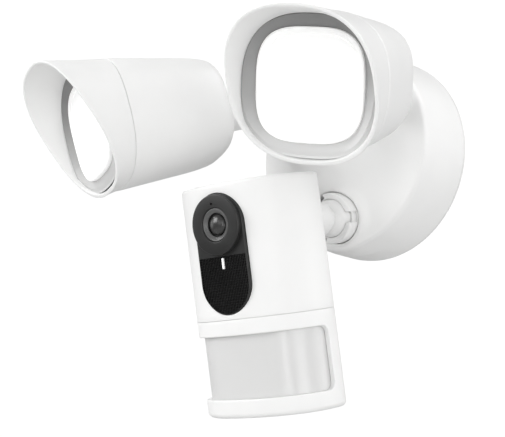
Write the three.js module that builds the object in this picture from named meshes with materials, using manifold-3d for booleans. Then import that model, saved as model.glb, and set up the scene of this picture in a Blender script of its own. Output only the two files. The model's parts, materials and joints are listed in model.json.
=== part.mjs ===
// Wall-mounted floodlight camera: a round base, two aimable lamp heads and a camera with a motion
// sensor. Millimetres. +Z is up, the wall is the plane Y = 0 and the object faces -Y. The origin is
// the centre of the wall plate's back face.
import * as THREE from 'three';
import { mergeVertices } from 'three/addons/utils/BufferGeometryUtils.js';
import Module from 'manifold-3d';

const wasm = await Module();
wasm.setup();

const GAP = 0.3;                 // clearance between touching pieces
const WALL = 2.6;                // moulded wall thickness
const deg = THREE.MathUtils.degToRad;

// Base: a drum against the wall whose front narrows like a trumpet into a raised hub.
const BASE_R = 69;
const CREASE_R = 66;
const CREASE_Y = 43;
const HUB_R = 25.5;
const HUB_FRONT_Y = 87;
const HUB_RISE = 13;             // how far the hub's axis sits above the drum's axis
const GASKET_T = 2;
const PLATE_T = 3;
const GLAND_Z = -32;
const BOX_SCREW_X = 44.45;      // slots for a ceiling or wall box with screws 88.9 apart
const POST_X = 30;
const POST_Z = 46;

// Ball joint, used three times.
const BALL_R = 13.2;
const BALL_FIT = 0.6;            // clearance between the ball and the cup that holds it
const NOSE_R = 14.9;
const RING_R = 16.7;
const RING_BACK = -6;
const RING_FRONT = 5.5;

// Lamp heads: a rounded-square section on an axis that passes just above the ball.
const LAMP_BALL = { x: 50.4, y: -67.3, z: 27.2 };
const LAMP_SOCKET_AIM = { yaw: 20, pitch: 14 };
const LAMP_AIM = {
  left: { yaw: -24.5, pitch: 13.5, roll: -7 },
  right: { yaw: 15, pitch: 18, roll: 10 },
};
const LAMP_RISE = 6.7;
const LAMP_BACK = 30.4;          // ball centre to the back of the head
const LAMP_SEAM = 107;           // ball centre to the joint between rear shell and visor
const LAMP_HALF = 41.1;          // half width at the seam
const REAR_POWER = 2.9;          // exponent of the rounded-square section at the back of the head
const LAMP_POWER = 2.45;         // and from the seam forwards
const DIFFUSER_POWER = 3.2;
const VISOR_TOP = 43.5;          // reach of the visor beyond the seam, above and below
const VISOR_BOTTOM = 11.5;
const DIFFUSER_HALF = 31;

// Camera: a D-shaped column, hung from its ball by a stem at the back.
const CAM_BALL = { x: 0, y: -50.5, z: -47 };
const CAM_PITCH = 11;
const CAM_REACH = 79.5;          // ball centre to the centre of the column's section
const CAM_DROP = 54.9;           // ball centre down to the seam under the upper shell
const CAM_HALF = 45.6;
const CAM_FRONT = 35;
const CAM_REAR = 18.5;
const CAM_BOSS = 13.5;           // how far the stem's boss stands out behind the column
const CAM_TOP = 80;
const CAM_BOTTOM = -56.5;
const SPLIT_Y = 10;              // plane between the front shell and the back cover
const WINDOW = { top: -9.4, bottom: -46.7, rear: -2.5, corner: 5 };
const PILL = { half: 18.5, bottom: 3, top: 74.3 };
const PANEL_FACE = CAM_FRONT + 0.2;
const COVER_SCREW = { x: 24, z: 12, seat: 16.2, head: 2.9 };
const DISC = { z: 55.8, r: 17.8, proud: 3.2 };

// ---------------------------------------------------------------------------------- solids

function manifoldOf(geometry) {
  const bare = geometry.index ? geometry.clone() : geometry;
  bare.deleteAttribute('normal');
  bare.deleteAttribute('uv');
  const merged = mergeVertices(bare, 1e-4);
  const kept = [];
  const index = merged.index.array;
  for (let i = 0; i < index.length; i += 3) {
    const [a, b, c] = [index[i], index[i + 1], index[i + 2]];
    if (a !== b && b !== c && a !== c) kept.push(a, b, c);
  }
  const place = merged.attributes.position;
  const [p, q, r] = [new THREE.Vector3(), new THREE.Vector3(), new THREE.Vector3()];
  let volume = 0;
  for (let i = 0; i < kept.length; i += 3) {
    p.fromBufferAttribute(place, kept[i]);
    q.fromBufferAttribute(place, kept[i + 1]);
    r.fromBufferAttribute(place, kept[i + 2]);
    volume += p.dot(q.cross(r));
  }
  if (volume < 0) {
    for (let i = 0; i < kept.length; i += 3) {
      [kept[i + 1], kept[i + 2]] = [kept[i + 2], kept[i + 1]];
    }
  }
  return new wasm.Manifold(new wasm.Mesh({
    numProp: 3,
    vertProperties: new Float32Array(place.array),
    triVerts: new Uint32Array(kept),
  }));
}

function geometryOf(solid) {
  const mesh = solid.getMesh();
  const geometry = new THREE.BufferGeometry();
  geometry.setAttribute('position', new THREE.BufferAttribute(new Float32Array(mesh.vertProperties), 3));
  geometry.setIndex(new THREE.BufferAttribute(new Uint32Array(mesh.triVerts), 1));
  return geometry;
}

const join = (first, ...rest) => rest.reduce((sum, next) => sum.add(next), first);
const cut = (first, ...rest) => rest.reduce((left, next) => left.subtract(next), first);
const moved = (solid, matrix) => manifoldOf(geometryOf(solid).applyMatrix4(matrix));
const shifted = (solid, x, y, z) => moved(solid, new THREE.Matrix4().makeTranslation(x, y, z));

function box(wide, deep, high, x = 0, y = 0, z = 0) {
  return manifoldOf(new THREE.BoxGeometry(wide, deep, high).translate(x, y, z));
}

// Solid of revolution about the local Y axis. Each profile point is [radius, forward distance];
// forward is -Y. shape(angle, ahead) scales the radius, and lean moves points forward by height.
function turned(profile, { segments = 32, shape = () => 1, lean = () => 0 } = {}) {
  const points = profile.map(([radius, ahead]) => new THREE.Vector2(radius, -ahead));
  const geometry = new THREE.LatheGeometry(points, segments);
  const at = geometry.attributes.position;
  for (let i = 0; i < at.count; i += 1) {
    const angle = Math.atan2(at.getZ(i), at.getX(i));
    const k = shape(angle, -at.getY(i));
    const x = at.getX(i) * k;
    const z = at.getZ(i) * k;
    at.setXYZ(i, x, at.getY(i) - lean(z, -at.getY(i)), z);
  }
  return manifoldOf(geometry);
}

// Column about the local Z axis from [scale, height] points; outline(angle) gives the radius.
function column(profile, outline, segments = 40) {
  const points = profile.map(([scale, height]) => new THREE.Vector2(scale, height));
  const geometry = new THREE.LatheGeometry(points, segments).rotateX(Math.PI / 2);
  const at = geometry.attributes.position;
  for (let i = 0; i < at.count; i += 1) {
    const scale = Math.hypot(at.getX(i), at.getY(i));
    const angle = Math.atan2(at.getY(i), at.getX(i));
    const [x, y] = outline(angle, scale);
    at.setXYZ(i, x, y, at.getZ(i));
  }
  return manifoldOf(geometry);
}

const rod = (radius, from, to, segments = 24) => turned(
  [[0, from], [radius, from], [radius, to], [0, to]], { segments });

// Flat outline in the XZ plane, extruded from -from to -to along Y.
function plate(shape, from, to, curveSegments = 10) {
  const geometry = new THREE.ExtrudeGeometry(shape, { depth: to - from, bevelEnabled: false, curveSegments });
  return manifoldOf(geometry.rotateX(Math.PI / 2).translate(0, -from, 0));
}

function pillShape(half, bottom, top) {
  const shape = new THREE.Shape();
  shape.absarc(0, top - half, half, 0, Math.PI, false);
  shape.absarc(0, bottom + half, half, Math.PI, 2 * Math.PI, false);
  shape.closePath();
  return shape;
}

function roundedRect(left, bottom, right, top, radius) {
  const shape = new THREE.Shape();
  shape.absarc(right - radius, top - radius, radius, 0, Math.PI / 2, false);
  shape.absarc(left + radius, top - radius, radius, Math.PI / 2, Math.PI, false);
  shape.absarc(left + radius, bottom + radius, radius, Math.PI, 1.5 * Math.PI, false);
  shape.absarc(right - radius, bottom + radius, radius, 1.5 * Math.PI, 2 * Math.PI, false);
  shape.closePath();
  return shape;
}

// Rounded square: radius of |x|^n + |z|^n = 1 in the given direction.
const roundedSquare = (power) => (angle) => (
  (Math.abs(Math.cos(angle)) ** power + Math.abs(Math.sin(angle)) ** power) ** (-1 / power));

// ---------------------------------------------------------------------------------- finishes

const FINISH = {
  shell: { color: 0xf2f2f0, roughness: 0.5, metalness: 0 },
  bezel: { color: 0xb4b4b2, roughness: 0.6, metalness: 0 },
  diffuser: { color: 0xfdfdfb, roughness: 0.35, metalness: 0 },
  pir: { color: 0xdededc, roughness: 0.45, metalness: 0 },
  black: { color: 0x262626, roughness: 0.4, metalness: 0 },
  glass: { color: 0x3a3d42, roughness: 0.08, metalness: 0 },
  light: { color: 0xfafafa, roughness: 0.4, metalness: 0 },
  rubber: { color: 0x5a5a5a, roughness: 0.85, metalness: 0 },
  seal: { color: 0xe6e6e4, roughness: 0.6, metalness: 0 },
  aluminium: { color: 0xb9bcc0, roughness: 0.4, metalness: 1 },
  steel: { color: 0x9a9da1, roughness: 0.35, metalness: 1 },
  board: { color: 0x1f6b43, roughness: 0.6, metalness: 0 },
  component: { color: 0x2f3238, roughness: 0.6, metalness: 0 },
};

const object = new THREE.Group();

function add(parent, name, solid, finish) {
  const mesh = new THREE.Mesh(geometryOf(solid), new THREE.MeshStandardMaterial(FINISH[finish]));
  mesh.name = name;
  parent.add(mesh);
}

function aimedGroup({ x, y, z }, { yaw, pitch, roll = 0 }) {
  const group = new THREE.Group();
  group.position.set(x, y, z);
  group.rotation.set(deg(pitch), deg(roll), deg(yaw), 'ZXY');
  group.updateMatrix();
  object.add(group);
  return group;
}

// ---------------------------------------------------------------------------------- ball joints

// Socket block: a skirt that grows out of the base, then the threaded nose the lock ring turns on.
const socketBlock = (depth, rearRadius) => turned([
  [0, -depth], [rearRadius, -depth], [RING_R + 0.3, RING_BACK - 3], [RING_R, RING_BACK - GAP],
  [NOSE_R, RING_BACK - GAP], [NOSE_R, 1.2], [0, 1.2],
], { segments: 24 });

const ball = (radius, around = 16) => manifoldOf(new THREE.SphereGeometry(radius, around, around / 2));

function lockRing() {
  const collar = turned([
    [NOSE_R + GAP, RING_BACK], [RING_R, RING_BACK], [RING_R, RING_FRONT - 1.2], [RING_R - 1.2, RING_FRONT],
    [12.4, RING_FRONT], [13.7, 1.5], [NOSE_R + GAP, 1.5], [NOSE_R + GAP, RING_BACK],
  ], { segments: 24 });
  const notches = [4, 124, 244].map((turn) => moved(
    box(8, 12, 7, RING_R - 1, -3.5, 0), new THREE.Matrix4().makeRotationY(deg(turn))));
  return cut(collar, ...notches);
}

// Stem from the ball's surface to the piece it carries, with a cupped end against the ball.
function stem(profile) {
  return cut(turned(profile, { segments: 16 }), ball(BALL_R + BALL_FIT, 20));
}

// ---------------------------------------------------------------------------------- base

const ease = (t) => t * t * (3 - 2 * t);

function baseShell(lampSockets, cameraSocket) {
  const rise = (ahead) => HUB_RISE * ease(THREE.MathUtils.clamp((ahead - CREASE_Y) / 38, 0, 1));
  const rear = GASKET_T + GAP;
  const outer = [
    [BASE_R - 3, rear], [BASE_R, rear], [BASE_R - 0.6, 20], [CREASE_R + 0.5, CREASE_Y - 2.5],
    [CREASE_R - 0.8, CREASE_Y], [53, CREASE_Y + 2.2], [42, CREASE_Y + 7.5], [34.5, CREASE_Y + 15],
    [29.5, CREASE_Y + 25], [HUB_R, CREASE_Y + 36], [HUB_R - 3, HUB_FRONT_Y - 2.5], [0, HUB_FRONT_Y],
  ];
  const inner = [
    [0, CREASE_Y + 1], [42, CREASE_Y + 1], [CREASE_R - 5, CREASE_Y - 4], [BASE_R - 3.6, 22],
  ];
  const drum = turned([...inner, ...outer], { segments: 40 });
  const at = geometryOf(drum);
  const place = at.attributes.position;
  for (let i = 0; i < place.count; i += 1) {
    place.setZ(i, place.getZ(i) + rise(-place.getY(i)));
  }
  let shell = manifoldOf(at);
  for (const side of [-1, 1]) {
    const reach = LAMP_BALL.x - 8;
    const shoulder = turned([[0, -1], [15, -1], [13, reach], [0, reach]], { segments: 16 });
    shell = shell.add(moved(shoulder, new THREE.Matrix4()
      .makeTranslation(0, LAMP_BALL.y + 7.7, LAMP_BALL.z)
      .multiply(new THREE.Matrix4().makeRotationZ(side * Math.PI / 2))));
  }
  const ringRoom = rod(RING_R + 0.8, RING_BACK - GAP, 40, 28);
  for (const socket of lampSockets) {
    shell = cut(shell, moved(ringRoom, socket)).add(moved(socketBlock(17, 13), socket));
  }
  shell = cut(shell, moved(ringRoom, cameraSocket)).add(moved(socketBlock(21, 19.2), cameraSocket));
  const hollow = ball(BALL_R + BALL_FIT, 20);
  for (const socket of lampSockets) {
    shell = cut(shell, moved(hollow, socket), moved(rod(5, -19, 0, 8), socket));
  }
  shell = cut(shell, moved(hollow, cameraSocket), moved(rod(5, -26, 0, 8), cameraSocket));
  shell = cut(shell, shifted(rod(11, 30, HUB_FRONT_Y - 8, 16), 0, 0, 17));
  shell = cut(shell, box(LAMP_BALL.x * 1.8, 8, 8, 0, LAMP_BALL.y + 13, LAMP_BALL.z));
  for (const side of [-1, 1]) {
    shell = shell.add(shifted(rod(7, CREASE_Y - 8, CREASE_Y + 3.5, 16), side * POST_X, 0, POST_Z));
    shell = cut(shell,
      shifted(rod(2.4, CREASE_Y - 12, CREASE_Y + 12, 12), side * POST_X, 0, POST_Z),
      shifted(rod(4.8, CREASE_Y - 1, CREASE_Y + 30, 16), side * POST_X, 0, POST_Z));
  }
  return shell;
}

function wallPlate() {
  let plateSolid = rod(BASE_R - 8, 0, PLATE_T, 36);
  for (const side of [-1, 1]) {
    plateSolid = plateSolid.add(shifted(rod(5, 0, CREASE_Y - 9, 14), side * POST_X, 0, POST_Z));
    plateSolid = cut(plateSolid, shifted(rod(2.2, 12, CREASE_Y, 12), side * POST_X, 0, POST_Z));
  }
  const slot = roundedRect(-5, -2.4, 5, 2.4, 2.39);
  for (const x of [-BOX_SCREW_X, BOX_SCREW_X]) {
    plateSolid = cut(plateSolid, shifted(plate(slot, -1, PLATE_T + 1, 4), x, 0, 0));
  }
  return cut(plateSolid, shifted(rod(11, -1, PLATE_T + 1, 20), 0, 0, GLAND_Z));
}

function base(lampSockets, cameraSocket) {
  add(object, 'base_shell', baseShell(lampSockets, cameraSocket), 'shell');
  add(object, 'wall_plate', wallPlate(), 'steel');
  add(object, 'wall_gasket', turned([[BASE_R - 5.5, 0], [BASE_R, 0], [BASE_R, GASKET_T],
    [BASE_R - 5.5, GASKET_T], [BASE_R - 5.5, 0]], { segments: 44 }), 'seal');
  const grommet = turned([
    [5, 0.3], [10.6, 0.3], [10.6, PLATE_T + 0.4], [13, PLATE_T + 0.4], [12.4, PLATE_T + 2],
    [7, PLATE_T + 6], [5, PLATE_T + 6], [5, 0.3],
  ], { segments: 20 });
  add(object, 'wire_grommet', shifted(grommet, 0, 0, GLAND_Z), 'rubber');
  for (const [name, side] of [['left', -1], ['right', 1]]) {
    const screw = turned([
      [0, 14], [1.8, 14], [1.8, CREASE_Y - 0.6], [4.2, CREASE_Y - 0.6], [4.2, CREASE_Y + 1.4],
      [3.2, CREASE_Y + 2.2], [0, CREASE_Y + 2.4],
    ], { segments: 14 });
    const cross = [box(4.2, 2.4, 1, 0, -CREASE_Y - 2.2, 0), box(1, 2.4, 4.2, 0, -CREASE_Y - 2.2, 0)];
    add(object, `base_screw_${name}`, shifted(cut(screw, ...cross), side * POST_X, 0, POST_Z), 'steel');
  }
  add(object, 'driver_board', box(56, 1.6, 58, 0, -12, 6), 'board');
  const transformer = join(box(24, 15, 20, -12, -20.6, 18), box(16, 2.6, 24, -12, -20.6, 18));
  add(object, 'driver_transformer', transformer, 'component');
  add(object, 'driver_capacitor', shifted(rod(6, 13.1, 33), 14, 0, 20), 'component');
  const terminals = [-6, 0, 6].map((x) => box(3.6, 6, 5, x, -23, -13));
  add(object, 'terminal_block', cut(box(20, 9, 11, 0, -17.6, -14), ...terminals), 'light');
}

// ---------------------------------------------------------------------------------- lamp heads

const squircle = (angle, ahead) => {
  const t = THREE.MathUtils.clamp((ahead - LAMP_BACK) / (LAMP_SEAM - LAMP_BACK), 0, 1);
  return roundedSquare(THREE.MathUtils.lerp(REAR_POWER, LAMP_POWER, t))(angle);
};
const lensShape = roundedSquare(DIFFUSER_POWER);

// Forward reach of the slanted visor at height z, for a point a given part of the way to its rim.
const slant = (VISOR_TOP - VISOR_BOTTOM) / 2 / LAMP_HALF;
const MID_REACH = (VISOR_TOP + VISOR_BOTTOM) / 2;

function lampPieces(side, head, ringGroup) {
  const lift = (solid) => shifted(solid, 0, 0, LAMP_RISE);
  const put = (name, solid, finish) => add(head, `lamp_${side}_${name}`, lift(solid), finish);
  const S = LAMP_SEAM;
  const B = LAMP_BACK;

  add(ringGroup, `lamp_${side}_lock_ring`, lockRing(), 'shell');
  add(head, `lamp_${side}_ball`, ball(BALL_R), 'shell');
  const neck = [[0, 8], [7.6, 8], [7.6, 20], [9, 26], [12, B - GAP], [0, B - GAP]];
  add(head, `lamp_${side}_stem`, stem(neck), 'shell');

  const shellSkin = [
    [0, B], [19, B + 0.3], [27, B + 2], [32.2, B + 7.5], [34.6, B + 17], [37.9, B + 45], [LAMP_HALF, S - GAP],
  ];
  const shellCore = [
    [LAMP_HALF - WALL, S - GAP], [35.3, B + 45], [31.8, B + 18], [25.5, B + 5], [0, B + 3],
  ];
  const shell = turned([...shellSkin, ...shellCore], { shape: squircle });
  put('rear_shell', cut(shell, shifted(rod(4, B - 2, B + 8, 16), 0, 0, -LAMP_RISE)), 'shell');

  const lean = (z, ahead) => slant * z * THREE.MathUtils.clamp((ahead - S) / MID_REACH, 0, 1);
  put('visor', turned([
    [LAMP_HALF - WALL, S], [LAMP_HALF, S], [LAMP_HALF + 1.2, S + MID_REACH * 0.55],
    [LAMP_HALF + 2.7, S + MID_REACH - 0.9], [LAMP_HALF + 2.2, S + MID_REACH],
    [LAMP_HALF + 1.1, S + MID_REACH - 0.6], [LAMP_HALF - 1.4, S + MID_REACH - 6], [LAMP_HALF - WALL, S],
  ], { shape: squircle, lean }), 'shell');

  const seat = LAMP_HALF - WALL - GAP;
  const bezelLean = (z, ahead) => 0.16 * z * Math.max(0, (ahead - S - 10) / 6);
  const frame = turned([
    [seat - 4, S + 1], [seat - 0.2, S + 1], [seat - 0.2, S + 16], [seat - 1.4, S + 16],
    [DIFFUSER_HALF - 1, S + 11.9], [DIFFUSER_HALF - 1, S + 10.1], [seat - 4, S + 11.9], [seat - 4, S + 1],
  ], { shape: squircle, lean: bezelLean });
  put('bezel', cut(frame, turned([[0, S - 5], [DIFFUSER_HALF + 0.7, S - 5], [DIFFUSER_HALF + 0.7, S + 30],
    [0, S + 30]], { shape: lensShape })), 'bezel');

  put('diffuser', turned([
    [0, S + 9.5], [DIFFUSER_HALF + 0.3, S + 9.5], [DIFFUSER_HALF + 0.4, S + 13.1],
    [DIFFUSER_HALF - 0.2, S + 13.8], [DIFFUSER_HALF - 1.6, S + 13.8], [DIFFUSER_HALF - 2.2, S + 13.1],
    [18, S + 13.5], [0, S + 13.7],
  ], { shape: lensShape }), 'diffuser');

  let board = turned([[0, S - 4], [29.5, S - 4], [29.5, S - 2.4], [0, S - 2.4]],
    { shape: squircle, segments: 24 });
  for (let i = 0; i < 9; i += 1) {
    const [x, z] = [(i % 3 - 1) * 16, (Math.floor(i / 3) - 1) * 16];
    board = board.add(box(5, 1.4, 5, x, -(S - 1.9), z));
  }
  put('led_board', board, 'board');

  let sink = box(50, 4, 50, 0, -(S - 6.6), 0);
  for (let i = -3; i <= 3; i += 1) {
    sink = sink.add(box(2, 26, 44, i * 7.5, -(S - 20), 0));
  }
  put('heat_sink', sink, 'aluminium');

  put('gasket', turned([
    [LAMP_HALF - WALL - 3.4, S - 3], [LAMP_HALF - WALL - 0.6, S - 3], [LAMP_HALF - WALL - 0.6, S + 0.6],
    [LAMP_HALF - WALL - 3.4, S + 0.6], [LAMP_HALF - WALL - 3.4, S - 3],
  ], { shape: squircle }), 'rubber');
}

// ---------------------------------------------------------------------------------- camera

// Column outline: flat-fronted oval ahead of the centre, shallower and squarer behind it.
// inset moves the outline inwards by a true distance.
const camOutline = (inset = 0) => (angle, scale) => {
  const rear = Math.sin(angle) > 0;
  const power = rear ? 2.7 : 2.3;
  const wide = CAM_HALF - inset;
  const deep = (rear ? CAM_REAR : CAM_FRONT) - inset;
  const [c, s] = [Math.cos(angle), Math.sin(angle)];
  return [
    scale * wide * Math.sign(c) * Math.abs(c) ** (2 / power),
    scale * deep * Math.sign(s) * Math.abs(s) ** (2 / power),
  ];
};

const camSolid = (inset, low, high) => column([[0, low], [1, low], [1, high], [0, high]], camOutline(inset));

function cameraPieces(group) {
  const seat = new THREE.Matrix4().makeTranslation(0, -CAM_REACH, -CAM_DROP);
  const put = (name, solid, finish) => add(group, `camera_${name}`, moved(solid, seat), finish);
  const behind = (from) => box(200, 100, 400, 0, from + 50, 0);

  add(group, 'camera_ball', ball(BALL_R), 'shell');
  const stemEnd = CAM_REACH - CAM_REAR - CAM_BOSS - GAP;
  const neck = [[0, 8], [8, 8], [8.2, 12], [10.4, 15], [11.3, 20], [11.8, 30], [12.6, 38], [15, stemEnd],
    [0, stemEnd]];
  add(group, 'camera_stem', stem(neck), 'shell');

  // Upper shell with a softly rounded top, split into a front half and a back cover.
  const t = CAM_TOP;
  const skin = column([[0, 0], [1, 0], [1, t - 3], [0.985, t - 1], [0.955, t], [0, t + 1.5]], camOutline());
  const tube = cut(skin, camSolid(WALL, -5, t - 3));
  const boss = turned([[0, -CAM_REAR + 6], [19, -CAM_REAR + 6], [20.5, -CAM_REAR - 1], [19.5, -CAM_REAR - 9],
    [16.5, -CAM_REAR - CAM_BOSS], [0, -CAM_REAR - CAM_BOSS]], { segments: 24 });
  const bossAt = shifted(boss, 0, 0, CAM_DROP);
  const wireway = shifted(rod(5, -CAM_REAR - 20, -SPLIT_Y, 16), 0, 0, CAM_DROP);
  const halfTube = tube.intersect(behind(SPLIT_Y + GAP));
  const backCover = cut(join(halfTube, bossAt.subtract(camSolid(WALL, -5, t - 3))), wireway);
  const screwHoles = [-1, 1].flatMap((side) => [
    shifted(rod(1.6, -CAM_REAR - 9, -SPLIT_Y, 10), side * COVER_SCREW.x, 0, COVER_SCREW.z),
    shifted(rod(COVER_SCREW.head + 0.4, -CAM_REAR - 9, -COVER_SCREW.seat, 16),
      side * COVER_SCREW.x, 0, COVER_SCREW.z),
  ]);
  put('back_cover', cut(backCover, ...screwHoles), 'shell');

  const pill = plate(pillShape(PILL.half, PILL.bottom, PILL.top), 20, PANEL_FACE, 10);
  const pillHole = plate(pillShape(PILL.half + GAP, PILL.bottom - GAP, PILL.top + GAP), 20, 60, 10);
  put('front_shell', cut(tube.subtract(behind(SPLIT_Y)), pillHole), 'shell');

  // Dark front panel with a flat face and a pocket for the speaker grille.
  const grilleTop = DISC.z - DISC.r - 0.8;
  const grilleCut = plate(pillShape(PILL.half - 2.2, PILL.bottom + 2.2, PILL.top), 20, 60, 10)
    .subtract(box(60, 100, 60, 0, -35, grilleTop + 30));
  const slab = pill.subtract(camSolid(3.4, -6, t + 6));
  const lampSlot = plate(roundedRect(-0.95, grilleTop - 7.8, 0.95, grilleTop - 0.7, 0.9), 20, 60, 3);
  const lensHole = shifted(rod(12, 20, 60, 24), 0, 0, DISC.z);
  put('front_panel', cut(slab, grilleCut, lampSlot, lensHole), 'black');
  const grille = plate(pillShape(PILL.half - 2.5, PILL.bottom + 2.5, PILL.top), 20, PANEL_FACE - 0.6, 10)
    .subtract(box(60, 100, 60, 0, -35, grilleTop + 29.7));
  put('speaker_grille', cut(grille, camSolid(2.4, -6, t + 6), lampSlot), 'black');
  const lightBar = roundedRect(-0.65, grilleTop - 7.5, 0.65, grilleTop - 1, 0.6);
  put('status_light', plate(lightBar, CAM_FRONT - 3, PANEL_FACE, 3), 'light');

  // Lens group: raised disc, glass, barrel and sensor board.
  const face = CAM_FRONT + DISC.proud;
  const disc = turned([
    [0, 24], [11.6, 24], [11.6, PANEL_FACE + GAP], [DISC.r, PANEL_FACE + GAP], [DISC.r, face - 0.8],
    [DISC.r - 0.8, face],
    [10.2, face], [9.6, face - 2.2], [0, face - 2.2],
  ], { segments: 32 });
  const bore = turned([[0, 20], [7.6, 20], [7.6, face + 5], [0, face + 5]], { segments: 20 });
  const micHole = shifted(rod(0.9, face - 3, face + 3, 8), -0.7, 0, DISC.z + 12.4);
  put('lens_disc', cut(shifted(cut(disc, bore), 0, 0, DISC.z), micHole), 'black');
  const dome = turned([
    [0, face - 7], [7.2, face - 7], [7.2, face - 2.6], [6.2, face - 1.3], [4, face - 0.5], [0, face - 0.2],
  ], { segments: 20 });
  put('lens_glass', shifted(dome, 0, 0, DISC.z), 'glass');
  put('lens_barrel', shifted(rod(6.9, 14, face - 7.4, 16), 0, 0, DISC.z), 'component');
  put('image_board', box(26, 1.6, 26, 0, -12.8, DISC.z), 'board');
  put('main_board', box(62, 1.6, 66, 0, -4, 38), 'board');
  put('processor', box(16, 3, 16, 0, -6.6, 24), 'component');
  const speaker = turned([
    [0, 14], [8, 14], [8, 19], [13.5, 21], [13.5, 27.5], [11, 27.5], [0, 24],
  ], { segments: 20 });
  put('speaker', shifted(speaker, 0, 0, 18), 'component');
  for (const [name, side] of [['left', -1], ['right', 1]]) {
    const screw = turned([
      [0, -2], [1.2, -2], [1.2, -COVER_SCREW.seat - GAP], [COVER_SCREW.head, -COVER_SCREW.seat - GAP],
      [COVER_SCREW.head, -COVER_SCREW.seat - 1.2], [0, -COVER_SCREW.seat - 1.7],
    ], { segments: 16 });
    put(`cover_screw_${name}`, shifted(screw, side * COVER_SCREW.x, 0, COVER_SCREW.z), 'steel');
  }

  // Lower housing: closed at the bottom, with a wrap-round window for the motion sensor.
  const low = CAM_BOTTOM;
  const tub = column([
    [0, low - 2], [0.9, low - 1.6], [0.97, low - 0.6], [1, low + 1.2], [1, -GAP], [0, -GAP],
  ], camOutline());
  const housing = cut(tub, camSolid(WALL + 0.4, low + 2.4, 5));
  const side = roundedRect(-80, WINDOW.bottom, WINDOW.rear, WINDOW.top, WINDOW.corner);
  const windowCut = moved(plate(side, -80, 80, 5), new THREE.Matrix4().makeRotationZ(Math.PI / 2));
  const upright = new THREE.Matrix4().makeRotationX(Math.PI / 2);
  const buttonHole = shifted(moved(rod(3.4, -30, 30, 16), upright), 0, 8, low);
  put('lower_housing', cut(housing, windowCut, buttonHole), 'shell');
  const band = camSolid(WALL + 0.7, WINDOW.bottom - 3, WINDOW.top + 3);
  put('motion_lens', cut(band, camSolid(WALL + 2, -90, 5), behind(8)), 'pir');
  put('motion_board', box(50, 1.6, 34, 0, -6, (WINDOW.top + WINDOW.bottom) / 2), 'board');
  for (const [name, x] of [['left', -15], ['right', 15]]) {
    put(`motion_sensor_${name}`, shifted(turned([[0, 7.1], [4.1, 7.1], [4.1, 11], [0, 11]], { segments: 16 }),
      x, 0, (WINDOW.top + WINDOW.bottom) / 2), 'steel');
  }
  const button = column([
    [0, low - 3], [2.6, low - 3], [3, low - 2.4], [3, low + 4], [4.6, low + 4], [4.6, low + 5.2],
    [0, low + 5.2],
  ], (angle, radius) => [radius * Math.cos(angle), radius * Math.sin(angle)], 16);
  put('sync_button', shifted(button, 0, 8, 0), 'bezel');
}

// ---------------------------------------------------------------------------------- assembly

const lampSides = [['left', -1], ['right', 1]];
const sockets = lampSides.map(([, side]) => aimedGroup(
  { ...LAMP_BALL, x: side * LAMP_BALL.x },
  { yaw: side * LAMP_SOCKET_AIM.yaw, pitch: LAMP_SOCKET_AIM.pitch }));
const cameraGroup = aimedGroup(CAM_BALL, { yaw: 0, pitch: CAM_PITCH });

base(sockets.map((group) => group.matrix), cameraGroup.matrix);
lampSides.forEach(([name, side], i) => {
  const head = aimedGroup({ ...LAMP_BALL, x: side * LAMP_BALL.x }, LAMP_AIM[name]);
  lampPieces(name, head, sockets[i]);
});
add(cameraGroup, 'camera_lock_ring', lockRing(), 'shell');
cameraPieces(cameraGroup);

export default object;
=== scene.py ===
"""Looks of a wall-mounted floodlight camera. Shapes are worked out in millimetres, in the CAD frame
(+Z up, the wall is Y = 0, the object faces -Y), and placed in metres."""

import json
import math

import bmesh
import bpy
import numpy as np
from mathutils import Matrix, Vector


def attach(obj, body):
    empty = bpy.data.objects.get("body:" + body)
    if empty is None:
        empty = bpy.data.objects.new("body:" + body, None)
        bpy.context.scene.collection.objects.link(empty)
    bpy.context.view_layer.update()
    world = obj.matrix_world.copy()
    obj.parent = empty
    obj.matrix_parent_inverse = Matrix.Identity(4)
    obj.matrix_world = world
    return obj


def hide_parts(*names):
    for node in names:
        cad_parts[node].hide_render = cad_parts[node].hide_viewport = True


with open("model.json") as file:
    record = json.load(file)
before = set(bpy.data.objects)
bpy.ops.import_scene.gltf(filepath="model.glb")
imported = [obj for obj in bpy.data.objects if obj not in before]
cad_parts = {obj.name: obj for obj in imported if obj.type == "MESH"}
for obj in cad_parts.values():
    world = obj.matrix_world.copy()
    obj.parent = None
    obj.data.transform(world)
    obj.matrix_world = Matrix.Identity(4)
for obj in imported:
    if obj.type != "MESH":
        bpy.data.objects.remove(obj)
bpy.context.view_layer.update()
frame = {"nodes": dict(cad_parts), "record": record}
scene = bpy.context.scene
scene.view_settings.view_transform = "Standard"

# ------------------------------------------------------------------------------------ camera

view_camera = bpy.data.objects.new("view_camera", bpy.data.cameras.new("view_camera"))
scene.collection.objects.link(view_camera)
scene.camera = view_camera
view_camera.data.sensor_width = 36
view_camera.data.lens = 92.67
view_camera.data.clip_end = 60
view_camera.location = (0.5018, -0.7118, -0.2114)
aim = Vector((-0.0628, -0.06, -0.0407)) - view_camera.location
view_camera.rotation_euler = aim.to_track_quat("-Z", "Y").to_euler()

# ------------------------------------------------------------------------------------ dimensions

GAP = 0.3
WALL = 2.6
BASE_R, CREASE_R, CREASE_Y = 69.0, 66.0, 43.0
HUB_R, HUB_FRONT_Y, HUB_RISE = 25.5, 87.0, 13.0
POST_X, POST_Z, GLAND_Z, BOX_SCREW_X = 30.0, 46.0, -32.0, 44.45

BALL_R, BALL_FIT, NOSE_R, RING_R = 13.2, 0.6, 14.9, 16.7
RING_BACK, RING_FRONT = -6.0, 5.5

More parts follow.
